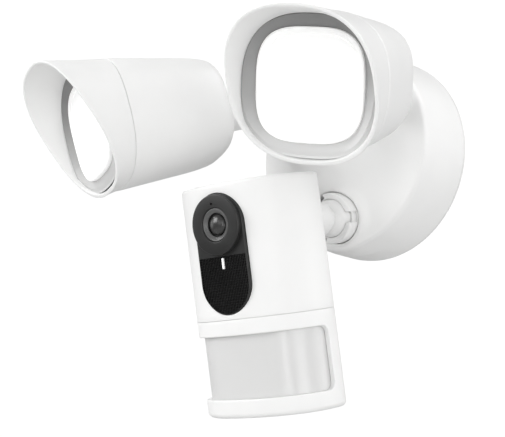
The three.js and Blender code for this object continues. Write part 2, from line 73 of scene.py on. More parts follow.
LAMP_BALL = (50.4, -67.3, 27.2)
SOCKET_YAW, SOCKET_PITCH = 20.0, 14.0
LAMP_AIM = {"left": (-24.5, 13.5, -7.0), "right": (15.0, 18.0, 10.0)}
RISE = 6.7
BACK, SEAM = 30.4, 107.0
HALF = 41.1
REAR_POWER, LAMP_POWER, DIFFUSER_POWER = 2.9, 2.45, 3.2
VISOR_TOP, VISOR_BOTTOM = 43.5, 11.5
DIFFUSER_HALF = 31.0

CAM_BALL = (0.0, -50.5, -47.0)
CAM_PITCH, CAM_REACH, CAM_DROP = 11.0, 79.5, 54.9
CAM_HALF, CAM_FRONT, CAM_REAR, CAM_BOSS = 45.6, 35.0, 18.5, 13.5
CAM_TOP, CAM_BOTTOM, SPLIT_Y = 80.0, -56.5, 10.0
WIN_TOP, WIN_BOTTOM, WIN_REAR, WIN_CORNER = -9.4, -46.7, -2.5, 5.0
PILL_HALF, PILL_BOTTOM, PILL_TOP = 18.5, 3.0, 74.3
PANEL_FACE = CAM_FRONT + 0.2
DISC_Z, DISC_R = 55.8, 17.8
DISC_FACE = CAM_FRONT + 3.2
GRILLE_TOP = DISC_Z - DISC_R - 0.8
SCREW_X, SCREW_Z, SCREW_SEAT = 24.0, 12.0, 16.2
MIC_HOLE = (-0.7, 0.0, DISC_Z + 12.4)
BUTTON_Y = 8
SLOT_WIDTH, SLOT_HEIGHT = 1.9, 7.1

# ------------------------------------------------------------------------------------ mesh tools


def rounded(points, steps=5):
    """Polyline of (a, b) or (a, b, radius) corners, with an arc at each corner that has a radius."""
    out = []
    for i, point in enumerate(points):
        p = np.array(point[:2], float)
        if len(point) < 3 or i in (0, len(points) - 1):
            out.append(tuple(p))
            continue
        before = np.array(points[i - 1][:2], float) - p
        after = np.array(points[i + 1][:2], float) - p
        u, v = before / np.linalg.norm(before), after / np.linalg.norm(after)
        half = math.acos(float(np.clip(u @ v, -1, 1))) / 2
        reach = min(point[2] / math.tan(half), 0.49 * np.linalg.norm(before), 0.49 * np.linalg.norm(after))
        radius = reach * math.tan(half)
        centre = p + (u + v) / np.linalg.norm(u + v) * (radius / math.sin(half))
        first, last = p + u * reach - centre, p + v * reach - centre
        start = math.atan2(first[1], first[0])
        sweep = (math.atan2(last[1], last[0]) - start + math.pi) % (2 * math.pi) - math.pi
        for k in range(steps + 1):
            angle = start + sweep * k / steps
            out.append((centre[0] + radius * math.cos(angle), centre[1] + radius * math.sin(angle)))
    return out


def flowing(points, per=6):
    """Smooth curve through the points."""
    p = [np.array(q, float) for q in points]
    p = [2 * p[0] - p[1]] + p + [2 * p[-1] - p[-2]]
    out = []
    for a, b, c, d in zip(p, p[1:], p[2:], p[3:]):
        knots = [0.0]
        for s, e in ((a, b), (b, c), (c, d)):
            knots.append(knots[-1] + max(np.linalg.norm(e - s), 1e-6) ** 0.5)
        t0, t1, t2, t3 = knots
        for t in np.linspace(t1, t2, per, endpoint=False):
            ab = ((t1 - t) * a + (t - t0) * b) / (t1 - t0)
            bc = ((t2 - t) * b + (t - t1) * c) / (t2 - t1)
            cd = ((t3 - t) * c + (t - t2) * d) / (t3 - t2)
            left = ((t2 - t) * ab + (t - t0) * bc) / (t2 - t0)
            right = ((t3 - t) * bc + (t - t1) * cd) / (t3 - t1)
            out.append(tuple(((t2 - t) * left + (t - t1) * right) / (t2 - t1)))
    return out + [tuple(p[-2])]


def mesh_object(verts, faces):
    mesh = bpy.data.meshes.new("part")
    mesh.from_pydata([tuple(v) for v in verts], [], faces)
    shape = bmesh.new()
    shape.from_mesh(mesh)
    bmesh.ops.remove_doubles(shape, verts=shape.verts, dist=1e-5)
    bmesh.ops.recalc_face_normals(shape, faces=shape.faces)
    shape.to_mesh(mesh)
    shape.free()
    obj = bpy.data.objects.new("part", mesh)
    scene.collection.objects.link(obj)
    return obj


def loft(rings, closed=False, capped=False):
    """Skin through rings of points. A ring of one point is a pole."""
    starts = np.cumsum([0] + [len(r) for r in rings])
    faces = []
    pairs = [(i, i + 1) for i in range(len(rings) - 1)]
    if closed:
        pairs.append((len(rings) - 1, 0))
    for i, j in pairs:
        a, b, n = len(rings[i]), len(rings[j]), max(len(rings[i]), len(rings[j]))
        if n == 1:
            continue
        for k in range(n):
            m = (k + 1) % n
            quad = [starts[i] + k % a, starts[j] + k % b, starts[j] + m % b, starts[i] + m % a]
            faces.append([int(v) for v in dict.fromkeys(quad)])
    if capped:
        faces.append([int(starts[0]) + k for k in range(len(rings[0]))])
        faces.append([int(starts[-2]) + k for k in range(len(rings[-1]))])
    return mesh_object(np.concatenate(rings), faces)


def turned(profile, segments=128, shape=None, lean=None):
    """Solid of revolution about local Y from (radius, ahead) points; ahead is -Y."""
    closed = np.allclose(profile[0], profile[-1])
    points = profile[:-1] if closed else profile
    angle = np.arange(segments) * 2 * math.pi / segments
    rings = []
    for radius, ahead in points:
        if radius < 1e-6:
            rings.append(np.array([[0, -ahead, 0]]))
            continue
        k = radius * (shape(angle, ahead) if shape else np.ones(segments))
        x, z = k * np.cos(angle), k * np.sin(angle)
        y = -ahead - (lean(z, ahead) if lean else 0 * z)
        rings.append(np.stack([x, y, z], 1))
    return loft(rings, closed)


def rod(radius, start, end, segments=48):
    return turned([(0, start), (radius, start), (radius, end), (0, end)], segments)


def block(size, centre):
    x, y, z = [s / 2 for s in size]
    low = [(-x, -y, -z), (x, -y, -z), (x, y, -z), (-x, y, -z)]
    corners = low + [(a, b, -c) for a, b, c in low]
    faces = [(0, 1, 2, 3), (4, 5, 6, 7), (0, 1, 5, 4), (1, 2, 6, 5), (2, 3, 7, 6), (3, 0, 4, 7)]
    return mesh_object([tuple(np.add(c, centre)) for c in corners], faces)


def shifted(obj, x, y, z):
    obj.data.transform(Matrix.Translation((x, y, z)))
    return obj


def placed(obj, matrix):
    obj.data.transform(matrix)
    return obj


def combine(obj, tools, operation="DIFFERENCE"):
    for tool in tools:
        step = obj.modifiers.new("step", "BOOLEAN")
        step.operation = operation
        step.solver = "MANIFOLD"
        step.object = tool
    graph = bpy.context.evaluated_depsgraph_get()
    graph.update()
    mesh = bpy.data.meshes.new_from_object(obj.evaluated_get(graph))
    obj.modifiers.clear()
    obj.data = mesh
    for tool in tools:
        bpy.data.objects.remove(tool)
    return obj


def cut(obj, *tools):
    return combine(obj, tools)


def join(obj, *tools):
    return combine(obj, tools, "UNION")


def show(obj, name, body, finish, *nodes, at=None, sharp=32):
    """Names a finished shape, gives it its material and hands it to a CAD body."""
    obj.name = name
    mesh = obj.data
    mesh.name = name
    mesh.transform(Matrix.Scale(0.001, 4) @ (at or Matrix()))
    mesh.polygons.foreach_set("use_smooth", [True] * len(mesh.polygons))
    mesh.set_sharp_from_angle(angle=math.radians(sharp))
    mesh.materials.clear()
    mesh.materials.append(FINISH[finish])
    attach(obj, body)
    if nodes:
        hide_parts(*nodes)
    return obj


def frame_at(position, yaw, pitch, roll=0):
    turn = (Matrix.Rotation(math.radians(yaw), 4, "Z") @ Matrix.Rotation(math.radians(pitch), 4, "X")
            @ Matrix.Rotation(math.radians(roll), 4, "Y"))
    return Matrix.Translation(position) @ turn


# ------------------------------------------------------------------------------------ materials

DRIFT, GRAIN, GRAIN_DEPTH = 42, 2400, 0.00012

def new_material(name):
    material = bpy.data.materials.new(name)
    material.use_nodes = True
    nodes, links = material.node_tree.nodes, material.node_tree.links
    return material, nodes, links, nodes["Principled BSDF"]


def noise(nodes, links, scale, detail=3.0):
    place = nodes.new("ShaderNodeTexCoord")
    texture = nodes.new("ShaderNodeTexNoise")
    texture.inputs["Scale"].default_value = scale
    texture.inputs["Detail"].default_value = detail
    links.new(place.outputs["Object"], texture.inputs["Vector"])
    return texture


def tones(nodes, links, texture, dark, light, target, low=0.35, high=0.65):
    ramp = nodes.new("ShaderNodeValToRGB")
    ramp.color_ramp.elements[0].position = low
    ramp.color_ramp.elements[1].position = high
    ramp.color_ramp.elements[0].color = (*dark, 1)
    ramp.color_ramp.elements[1].color = (*light, 1)
    links.new(texture.outputs[0], ramp.inputs[0])
    links.new(ramp.outputs[0], target)


def between(nodes, links, texture, low, high, target):
    spread = nodes.new("ShaderNodeMapRange")
    spread.inputs["To Min"].default_value = low
    spread.inputs["To Max"].default_value = high
    links.new(texture.outputs[0], spread.inputs["Value"])
    links.new(spread.outputs[0], target)


def bumped(nodes, links, texture, strength, distance, shader):
    bump = nodes.new("ShaderNodeBump")
    bump.inputs["Strength"].default_value = strength
    bump.inputs["Distance"].default_value = distance
    links.new(texture.outputs[0], bump.inputs["Height"])
    links.new(bump.outputs["Normal"], shader.inputs["Normal"])


def grey(value):
    return (value, value, value * 0.995)


def moulded(name, tone, spread, roughness, grain=0.12, grain_scale=GRAIN, specular=0.5, coat=0.0, sway=0.05):
    """Moulded plastic: faint drifts of tone and gloss, and a fine spark-eroded grain."""
    material, nodes, links, shader = new_material(name)
    drift = noise(nodes, links, DRIFT, 4)
    tones(nodes, links, drift, [c - spread for c in tone], tone, shader.inputs["Base Color"])
    between(nodes, links, drift, roughness - sway, roughness + sway, shader.inputs["Roughness"])
    bumped(nodes, links, noise(nodes, links, grain_scale, 2), grain, GRAIN_DEPTH, shader)
    shader.inputs["Specular IOR Level"].default_value = specular
    shader.inputs["Coat Weight"].default_value = coat
    shader.inputs["Coat Roughness"].default_value = 0.12
    return material


def shade_graded(name, low, high, shade_tones_up, roughness):
    """Moulded plastic whose tone changes with height, through the tones given, from low to high in metres;
    this change with height is painted shade.
    """
    material, nodes, links, shader = new_material(name)
    place = nodes.new("ShaderNodeTexCoord")
    split = nodes.new("ShaderNodeSeparateXYZ")
    painted_shade_height = nodes.new("ShaderNodeMapRange")
    painted_shade_height.inputs["From Min"].default_value = low
    painted_shade_height.inputs["From Max"].default_value = high
    drift = noise(nodes, links, DRIFT, 4)
    blend = nodes.new("ShaderNodeMath")
    blend.operation = "MULTIPLY_ADD"
    blend.inputs[1].default_value = 0.08
    ramp = nodes.new("ShaderNodeValToRGB")
    ramp.color_ramp.elements.new(0.5)
    for element, tone in zip(ramp.color_ramp.elements, shade_tones_up):
        element.color = (*grey(tone), 1)
    # Height drives the base colour here: painted shade.
    links.new(place.outputs["Object"], split.inputs[0])
    links.new(split.outputs["Z"], painted_shade_height.inputs["Value"])
    links.new(drift.outputs[0], blend.inputs[0])
    links.new(painted_shade_height.outputs[0], blend.inputs[2])
    links.new(blend.outputs[0], ramp.inputs[0])
    links.new(ramp.outputs[0], shader.inputs["Base Color"])
    between(nodes, links, drift, roughness - 0.05, roughness + 0.05, shader.inputs["Roughness"])
    bumped(nodes, links, noise(nodes, links, GRAIN, 2), 0.12, GRAIN_DEPTH, shader)
    return material


def metal(name, tone, roughness, brushed):
    material, nodes, links, shader = new_material(name)
    shader.inputs["Metallic"].default_value = 1
    grain = noise(nodes, links, brushed, 5)
    tones(nodes, links, grain, [c * 0.82 for c in tone], tone, shader.inputs["Base Color"])
    between(nodes, links, grain, roughness - 0.08, roughness + 0.1, shader.inputs["Roughness"])
    bumped(nodes, links, grain, 0.1, 0.0001, shader)
    return material


def circuit_board(name):
    material, nodes, links, shader = new_material(name)
    place = nodes.new("ShaderNodeTexCoord")
    tracks = nodes.new("ShaderNodeTexVoronoi")
    tracks.distance = "CHEBYCHEV"
    tracks.inputs["Scale"].default_value = 260
    links.new(place.outputs["Object"], tracks.inputs["Vector"])
    dark_green, light_green = (0.012, 0.11, 0.05), (0.02, 0.19, 0.085)
    tones(nodes, links, tracks, dark_green, light_green, shader.inputs["Base Color"], 0.2, 0.3)
    shader.inputs["Roughness"].default_value = 0.38
    bumped(nodes, links, tracks, 0.2, 0.0001, shader)
    return material


def lit(material, strength):
    shader = material.node_tree.nodes["Principled BSDF"]
    shader.inputs["Emission Color"].default_value = (1, 1, 1, 1)
    shader.inputs["Emission Strength"].default_value = strength
    return material


def milky(material, weight, radius):
    shader = material.node_tree.nodes["Principled BSDF"]
    shader.inputs["Subsurface Weight"].default_value = weight
    shader.inputs["Subsurface Radius"].default_value = (1, 1, 1)
    shader.inputs["Subsurface Scale"].default_value = radius
    return material


FINISH = {
    "shell": moulded("white_plastic", grey(0.86), 0.012, 0.42),
    # The bezel's tone is painted shade: darker towards the top, where the visor shades it, and lighter
    # towards the bottom, where light falls on it.
    "bezel": shade_graded("grey_plastic_painted_shade", -0.038, 0.034, (0.72, 0.38, 0.25), 0.5),
    "diffuser": lit(moulded("diffuser_acrylic", grey(0.9), 0.01, 0.3, 0.1, 900), 0.2),
    "pir": milky(moulded("milky_window", grey(0.69), 0.003, 0.28, 0.06, 1500, 0.7, sway=0.008), 0.2, 0.002),
    "black": moulded("black_plastic", grey(0.021), 0.005, 0.36, 0.08, GRAIN, 0.35),
    "satin": moulded("satin_black_plastic", grey(0.022), 0.006, 0.34, 0.08, GRAIN, 0.36),
    "graphite": moulded("graphite_lens_ring", grey(0.1), 0.008, 0.32, 0.08),
    "glass": moulded("lens_glass", grey(0.03), 0.01, 0.24, 0.02, 900, 0.5, 0.25),
    "light": lit(moulded("light_pipe", grey(0.9), 0.01, 0.35), 0.3),
    "seal": moulded("silicone_foam", grey(0.78), 0.03, 0.75, 0.4, 1200, 0.3),
    "rubber": moulded("seal_rubber", grey(0.06), 0.015, 0.8, 0.4, 1200, 0.3),
    "aluminium": metal("cast_aluminium", (0.62, 0.63, 0.65), 0.42, 700),
    "steel": metal("zinc_steel", (0.5, 0.51, 0.52), 0.36, 260),
    "board": circuit_board("solder_mask"),
    "component": moulded("dark_component", grey(0.035), 0.01, 0.5, 0.2),
}

for subpart in frame["record"]["subparts"]:
    cad = frame["nodes"][subpart["node"]]
    cad.data.materials.clear()
    cad.data.materials.append(FINISH[subpart["material_slot"]])

# ------------------------------------------------------------------------------------ base


def ease(t):
    t = np.clip(t, 0, 1)
    return t * t * (3 - 2 * t)


class Turned:
    """Signed distance to a solid of revolution, looked up in a table over (radius, ahead)."""

    def __init__(self, outline, low=-30.0, high=100.0, far=110.0, step=0.4):
        self.low, self.step = low, step
        radius = np.arange(0, far, step)
        ahead = np.arange(low, high, step)
        r, a = np.meshgrid(radius, ahead, indexing="ij")
        best = np.full(r.shape, 1e9)
        inside = np.zeros(r.shape, bool)
        ends = outline[1:] + outline[:1]
        for (r0, a0), (r1, a1) in zip(outline, ends):
            dr, da = r1 - r0, a1 - a0
            length = dr * dr + da * da
            if length < 1e-12:
                continue
            t = np.clip(((r - r0) * dr + (a - a0) * da) / length, 0, 1)
            if max(r0, r1) > 1e-6:
                best = np.minimum(best, np.hypot(r - r0 - t * dr, a - a0 - t * da))
            crosses = (a0 > a) != (a1 > a)
            if da:
                inside ^= crosses & (r < r0 + (a - a0) * dr / da)
        self.table = np.where(inside, -best, best)

    def __call__(self, radius, ahead):
        u = np.clip(radius / self.step, 0, self.table.shape[0] - 1.001)
        v = np.clip((ahead - self.low) / self.step, 0, self.table.shape[1] - 1.001)
        i, j = u.astype(int), v.astype(int)
        u, v = u - i, v - j
        t = self.table
        return ((1 - u) * ((1 - v) * t[i, j] + v * t[i, j + 1])
                + u * ((1 - v) * t[i + 1, j] + v * t[i + 1, j + 1]))


def merge(a, b, soft):
    h = np.maximum(soft - np.abs(a - b), 0) / soft
    return np.minimum(a, b) - h * h * soft / 4


def remove(a, b, soft=0.01):
    return -merge(-a, b, soft)


drum = Turned([
    *rounded([(0, 2.05), (BASE_R, 2.05, 0.3), (BASE_R - 0.6, 20, 30), (CREASE_R + 0.5, CREASE_Y - 2.5, 2),
              (CREASE_R - 0.6, CREASE_Y)], 4),
    *flowing([(CREASE_R - 1.6, CREASE_Y + 0.5), (53, CREASE_Y + 3.0), (42, CREASE_Y + 8),
              (34.5, CREASE_Y + 15), (29.0, CREASE_Y + 25), (HUB_R, CREASE_Y + 36)]),
    *rounded([(HUB_R, CREASE_Y + 36), (HUB_R - 1.5, HUB_FRONT_Y - 0.5, 4), (0, HUB_FRONT_Y)], 8)[1:],
])
cavity = Turned([(0, 44), (42, 44), (61, 39), (65.4, 22), (66, 2.3), (66, -6), (0, -6)])
block_profiles = {
    "lamp": Turned([(0, -17), *rounded([(0, -17), (13, -17), (RING_R + 1.2, RING_BACK - 4),
                                        (RING_R + 1.2, RING_BACK - GAP, 1.2), (0, RING_BACK - GAP)])[1:]]),
    "camera": Turned([(0, -22), *rounded([(0, -22), (24, -22), (RING_R + 4.4, RING_BACK - 4),
                                          (RING_R + 3.6, RING_BACK + 3.2, 1.8), (0, RING_BACK + 3.2)])[1:]]),
}
sockets = [
    (frame_at((-LAMP_BALL[0], *LAMP_BALL[1:]), -SOCKET_YAW, SOCKET_PITCH), "lamp"),
    (frame_at(LAMP_BALL, SOCKET_YAW, SOCKET_PITCH), "lamp"),
    (frame_at(CAM_BALL, 0, CAM_PITCH), "camera"),
]
socket_parts = [(np.array(m.inverted()), block_profiles[kind], kind) for m, kind in sockets]


def base_distance(p):
    x, y, z = p[..., 0], p[..., 1], p[..., 2]
    rise = HUB_RISE * ease((-y - CREASE_Y) / 38)
    d = drum(np.hypot(x, z - rise), -y)
    reach = LAMP_BALL[0] - 8
    arm_r = 15 - 2 * np.abs(x) / reach
    arm = np.maximum(np.hypot(y - LAMP_BALL[1] - 7.7, z - LAMP_BALL[2]) - arm_r, np.abs(x) - reach)
    d = merge(d, arm, 9)
    rooms = []
    for inverse, profile, kind in socket_parts:
        q = p @ inverse[:3, :3].T + inverse[:3, 3]
        radius, ahead = np.hypot(q[..., 0], q[..., 2]), -q[..., 1]
        d = merge(d, profile(radius, ahead), 7)
        ring_room = np.maximum(radius - RING_R - 0.35, RING_BACK - GAP - ahead)
        ball_room = np.sqrt(radius ** 2 + ahead ** 2) - BALL_R - BALL_FIT
        wire_room = np.maximum(radius - 5, np.maximum(ahead, (-26 if kind == "camera" else -19) - ahead))
        rooms.append((ring_room, 1.2 if kind == "camera" else 0.8))
        rooms.append((np.minimum(ball_room, wire_room), 0.02))
    for room, soft in rooms:
        d = remove(d, room, soft)
    for side in (-1, 1):
        away = np.hypot(x - side * POST_X, z - POST_Z)
        d = remove(d, np.maximum(away - 4.8, CREASE_Y - 1 + y), 0.8)
        d = remove(d, np.maximum(away - 2.3, 30 + y), 0.02)
    return remove(d, cavity(np.hypot(x, z), -y), 0.4)


def surface_net(distance, low, high, step):
    """Quads around the zero level of a distance, with the points then drawn onto it."""
    axes = [np.arange(a, b + step, step) for a, b in zip(low, high)]
    grid = np.stack(np.meshgrid(*axes, indexing="ij"), -1)
    value = distance(grid)
    sign = value < 0
    cell_shape = [n - 1 for n in value.shape]
    total, weight = np.zeros((*cell_shape, 3)), np.zeros(cell_shape)
    corners = [(i, j, k) for i in (0, 1) for j in (0, 1) for k in (0, 1)]

    def at(array, c):
        return array[c[0]:c[0] + cell_shape[0], c[1]:c[1] + cell_shape[1], c[2]:c[2] + cell_shape[2]]

    for a in corners:
        for axis in range(3):
            if a[axis]:
                continue
            b = tuple(c + (n == axis) for n, c in enumerate(a))
            va, vb = at(value, a), at(value, b)
            mask = (va < 0) != (vb < 0)
            t = np.where(mask, va / np.where(mask, va - vb, 1), 0)
            offset = np.array(a, float) + t[..., None] * np.eye(3)[axis]
            total += mask[..., None] * offset
            weight += mask
    used = weight > 0
    index = np.full(cell_shape, -1)
    index[used] = np.arange(used.sum())
    cells = np.argwhere(used)
    points = np.array(low) + (cells + total[used] / weight[used][:, None]) * step
    faces = []
    for axis in range(3):
        u, v = [n for n in range(3) if n != axis]
        first = [slice(1, -1)] * 3
        first[axis] = slice(0, -1)
        second = list(first)
        second[axis] = slice(1, None)
        crossing = np.argwhere(sign[tuple(first)] != sign[tuple(second)])
        where = crossing + np.array([0 if n == axis else 1 for n in range(3)])
        quad = []
        for du, dv in ((1, 1), (0, 1), (0, 0), (1, 0)):
            cell = where.copy()
            cell[:, u] -= du
            cell[:, v] -= dv
            quad.append(index[tuple(cell.T)])
        faces.append(np.stack(quad, 1))
    for _ in range(4):
        here = distance(points)
        nudge = np.eye(3) * 0.05
        slope = np.stack([(distance(points + n) - distance(points - n)) / 0.1 for n in nudge], -1)
        move = -here[:, None] * slope / np.maximum((slope ** 2).sum(-1), 0.1)[:, None]
        points = points + np.clip(move, -0.5, 0.5)
    return points, np.concatenate(faces)


points, quads = surface_net(base_distance, (-72, -93, -71), (72, 0, 71), 1.0)
shell = mesh_object(points, [tuple(int(i) for i in q) for q in quads])
show(shell, "base_shell_skin", "base", "shell", "base_shell", sharp=48)

CUP_R = 13.75
cup = [(CUP_R * math.cos(t), CUP_R * math.sin(t))
       for t in np.linspace(math.radians(5), math.radians(-38), 14)]
nose = [*cup[::-1],
        *rounded([cup[0], (NOSE_R - 0.2, 1.2, 0.3), (NOSE_R, 0.4), (NOSE_R, -7), cup[-1]])[1:]]
for (matrix, kind), name in zip(sockets, ("left", "right", "camera")):
    threads = turned(nose, 96)
    show(threads, f"socket_nose_{name}", "base", "shell", at=matrix)

outline = rounded([(0, 0), (BASE_R - 8, 0, 0.4), (BASE_R - 8, 3, 0.6), (0, 3)])
wall_plate = turned(outline, 160)
tools = [placed(rod(2.4, -1, 5, 24), Matrix.Translation((x + dx, 0, 0)))
         for x in (-BOX_SCREW_X, BOX_SCREW_X) for dx in (-2.6, 2.6)]
tools += [block((5.2, 6, 4.8), (x, -2, 0)) for x in (-BOX_SCREW_X, BOX_SCREW_X)]
tools.append(shifted(rod(11, -1, 5), 0, 0, GLAND_Z))
wall_plate = cut(wall_plate, *tools)
bosses = []
for side in (-1, 1):
    boss = turned(rounded([(0, 1), (7, 1), (5.4, 4.5, 2), (5, CREASE_Y - 9, 0.5),
                           (2.3, CREASE_Y - 9), (2.3, 12), (0, 12)]), 40)
    bosses.append(shifted(boss, side * POST_X, 0, POST_Z))
wall_plate = join(wall_plate, *bosses)
show(wall_plate, "wall_plate_skin", "base", "steel", "wall_plate")

gasket = turned([
    *rounded([(BASE_R - 5.5, 0), (BASE_R - 0.2, 0, 0.7), (BASE_R - 0.2, 2, 0.7), (BASE_R - 5.5, 2)]),
    (BASE_R - 5.5, 0),
], 160)
show(gasket, "wall_gasket_skin", "base", "seal", "wall_gasket")

grommet = turned([
    *rounded([(5, 0.3), (10.6, 0.3, 0.3), (10.6, 3.4), (13, 3.4, 0.4), (12.4, 5, 0.8), (7, 9, 1),
              (5, 9, 0.6)]),
    (5, 0.3),
], 64)
show(shifted(grommet, 0, 0, GLAND_Z), "wire_grommet_skin", "base", "rubber", "wire_grommet")


def cross(width, depth, at_y):
    """The two bars of a cross recess."""
    slot = width / 4.2
    return [block((width, depth, slot), (0, at_y, 0)), block((slot, depth, width), (0, at_y, 0))]


for side, name in ((-1, "left"), (1, "right")):
    head = rounded([(0, 14), (1.8, 14, 0.3), (1.8, CREASE_Y - 0.6), (4.2, CREASE_Y - 0.6, 0.2),
                    (4.2, CREASE_Y + 1.2, 0.8), (3.0, CREASE_Y + 2.2, 1.5), (0, CREASE_Y + 2.4)])
    screw = cut(turned(head, 48), *cross(4.2, 2.4, -CREASE_Y - 2.2))
    screw = shifted(screw, side * POST_X, 0, POST_Z)
    show(screw, f"base_screw_{name}_skin", "base", "steel", f"base_screw_{name}")

# ------------------------------------------------------------------------------------ ball joints


def lock_ring():
    ring = turned([
        *rounded([(NOSE_R + GAP, RING_BACK), (RING_R - 0.2, RING_BACK, 0.4), (RING_R, 2),
                  (RING_R - 0.4, RING_FRONT, 1.2), (12.3, RING_FRONT, 0.5), (13.9, 1.5),
                  (NOSE_R + GAP, 1.5)]),
        (NOSE_R + GAP, RING_BACK),
    ], 120)
    notches = []
    for turn in (4, 124, 244):
        notch = block((8, 12, 7), (RING_R - 1.0, -3.5, 0))
        notches.append(placed(notch, Matrix.Rotation(math.radians(turn), 4, "Y")))
    return cut(ring, *notches)


def ball():
    """A ball with a chamfered hole at its back, where its wires come through."""
    start = math.asin(4.2 / BALL_R)
    arc = [(BALL_R * math.sin(t), -BALL_R * math.cos(t)) for t in np.linspace(start, math.pi, 60)]
    arc[-1] = (0, BALL_R)
    return turned([(0, -8), (2.6, -8), (2.6, arc[0][1] + 0.4), *arc], 96)


def stem(profile):
    """The neck, whose cupped end follows the ball."""
    reach = profile[0][0]
    cupped = [((BALL_R + 0.12) * math.sin(t), (BALL_R + 0.12) * math.cos(t))
              for t in np.linspace(0, math.asin(reach / BALL_R), 10)]
    cupped[0] = (0, BALL_R + 0.12)
    return turned(cupped[:-1] + profile, 72)


# ------------------------------------------------------------------------------------ lamp heads


def squircle(angle, ahead):
    t = np.clip((ahead - BACK) / (SEAM - BACK), 0, 1)
    power = REAR_POWER + (LAMP_POWER - REAR_POWER) * t
    return (np.abs(np.cos(angle)) ** power + np.abs(np.sin(angle)) ** power) ** (-1 / power)


def lens_shape(angle, ahead):
    power = DIFFUSER_POWER
    return (np.abs(np.cos(angle)) ** power + np.abs(np.sin(angle)) ** power) ** (-1 / power)


SLANT = (VISOR_TOP - VISOR_BOTTOM) / 2 / HALF
MID_REACH = (VISOR_TOP + VISOR_BOTTOM) / 2
BEZEL_REACH = 17.5
BEZEL_SEAT = 12.0


def visor_lean(z, ahead):
    return SLANT * z * np.clip((ahead - SEAM) / MID_REACH, 0, 1)


def bezel_lean(z, ahead):
    back = np.maximum(0, BEZEL_REACH + 1.8 - MID_REACH - SLANT * z)
    return -back * np.clip((ahead - SEAM - BEZEL_SEAT) / (BEZEL_REACH - BEZEL_SEAT), 0, 1)


def lamp_head(side, at, socket):
    body = f"lamp_{side}_head"
    lift = Matrix.Translation((0, 0, RISE))
    s, b = SEAM, BACK
    show(lock_ring(), f"lamp_{side}_lock_ring_skin", f"lamp_{side}_ring", "shell",
         f"lamp_{side}_lock_ring", at=socket)
    show(ball(), f"lamp_{side}_ball_skin", f"lamp_{side}_swivel", "shell", f"lamp_{side}_ball", at=at)
    neck = [(7.6, 11.8), *flowing([(7.6, 13), (7.7, 19), (9, 26), (12, b - 0.05)], 5), (0, b - 0.05)]
    show(stem(neck), f"lamp_{side}_stem_skin", f"lamp_{side}_arm", "shell", f"lamp_{side}_stem", at=at)

    skin = flowing([(12, b + 0.02), (20, b + 0.35), (27, b + 2.1), (32.0, b + 7.5), (34.6, b + 17),
                    (37.9, b + 45), (HALF - 0.1, s - 2.5)], 9)
    lip = rounded([(HALF - 0.1, s - 2.5), (HALF, s - 0.15, 0.45), (HALF - WALL, s - 0.15),
                   (HALF - WALL, s - 3)], 4)
    core = flowing([(HALF - WALL, s - 3), (35.3, b + 45), (31.8, b + 18), (25.5, b + 5), (12, b + 3)], 5)
    shell = turned([(0, b), (6, b), *skin, *lip[1:], *core[1:], (0, b + 3)], 192, squircle)
    hole = shifted(rod(4, b - 2, b + 8), 0, 0, -RISE)
    show(cut(shell, hole), f"lamp_{side}_rear_shell_skin", body, "shell",
         f"lamp_{side}_rear_shell", at=at @ lift)

    front = s + MID_REACH
    rim = [
        *rounded([(HALF - WALL, s + 0.15), (HALF, s + 0.15, 0.45), (HALF, s + 0.7)], 4),
        *flowing([(HALF, s + 1.2), (HALF + 0.4, s + 7), (HALF + 1.2, s + 15),
                  (HALF + 2.55, front - 1.6)], 6),
        *rounded([(HALF + 2.55, front - 1.6), (HALF + 2.8, front, 1.2), (HALF + 0.7, front, 1.0),
                  (HALF - 0.3, front - 3.5)], 6)[1:],
        *flowing([(HALF - 0.3, front - 3.5), (HALF - 1.3, front - 8), (HALF - 2.2, s + 10),
                  (HALF - WALL, s + 0.15)], 5)[1:],
    ]
    visor = turned(rim, 192, squircle, visor_lean)
    show(visor, f"lamp_{side}_visor_skin", body, "shell", f"lamp_{side}_visor", at=at @ lift)

    seat = HALF - WALL - GAP

    def blended(angle, ahead):
        t = float(np.clip((ahead - s - BEZEL_SEAT) / (BEZEL_REACH - BEZEL_SEAT), 0, 1))
        return lens_shape(angle, ahead) * (1 - t) + squircle(angle, ahead) * t

    inner, reach = DIFFUSER_HALF + 0.8, s + BEZEL_REACH
    funnel = [
        (inner, s + 10.4), (inner, s + 12.4), (inner + 0.5, s + 12.9),
        (seat + 0.1, reach - 0.7), (seat + 0.4, reach - 0.2), (seat + 0.65, reach - 0.9),
        (seat + 1.9, reach - 1.1), (seat + 1.9, reach - 2.4),
        (inner + 3, s + 10.4), (inner, s + 10.4),
    ]
    bezel = turned(funnel, 192, blended, bezel_lean)
    show(bezel, f"lamp_{side}_bezel_skin", body, "bezel", f"lamp_{side}_bezel", at=at @ lift)

    h = DIFFUSER_HALF
    lens = rounded([
        (0, s + 9.5), (h + 0.3, s + 9.5, 0.2), (h + 0.4, s + 11.2, 0.2), (h - 3.0, s + 11.2),
        (h - 3.0, s + 13.9, 0.4), (h - 4.2, s + 14.1, 0.6), (18, s + 14.3, 10), (0, s + 14.4),
    ], 4)
    trim = rounded([(h - 2.4, s + 11.3), (h + 0.6, s + 11.3), (h + 0.6, s + 14.6, 0.5),
                    (h - 0.6, s + 15.1, 0.6), (h - 2.4, s + 14.4, 0.4), (h - 2.4, s + 11.3)], 4)
    show(turned(trim, 192, lens_shape), f"lamp_{side}_diffuser_trim", body, "diffuser", at=at @ lift)
    diffuser = turned(lens, 192, lens_shape)
    show(diffuser, f"lamp_{side}_diffuser_skin", body, "diffuser", f"lamp_{side}_diffuser", at=at @ lift)


for (name, aim), sign, (socket, _) in zip(LAMP_AIM.items(), (-1, 1), sockets):
    lamp_head(name, frame_at((sign * LAMP_BALL[0], *LAMP_BALL[1:]), *aim), socket)

# ------------------------------------------------------------------------------------ camera

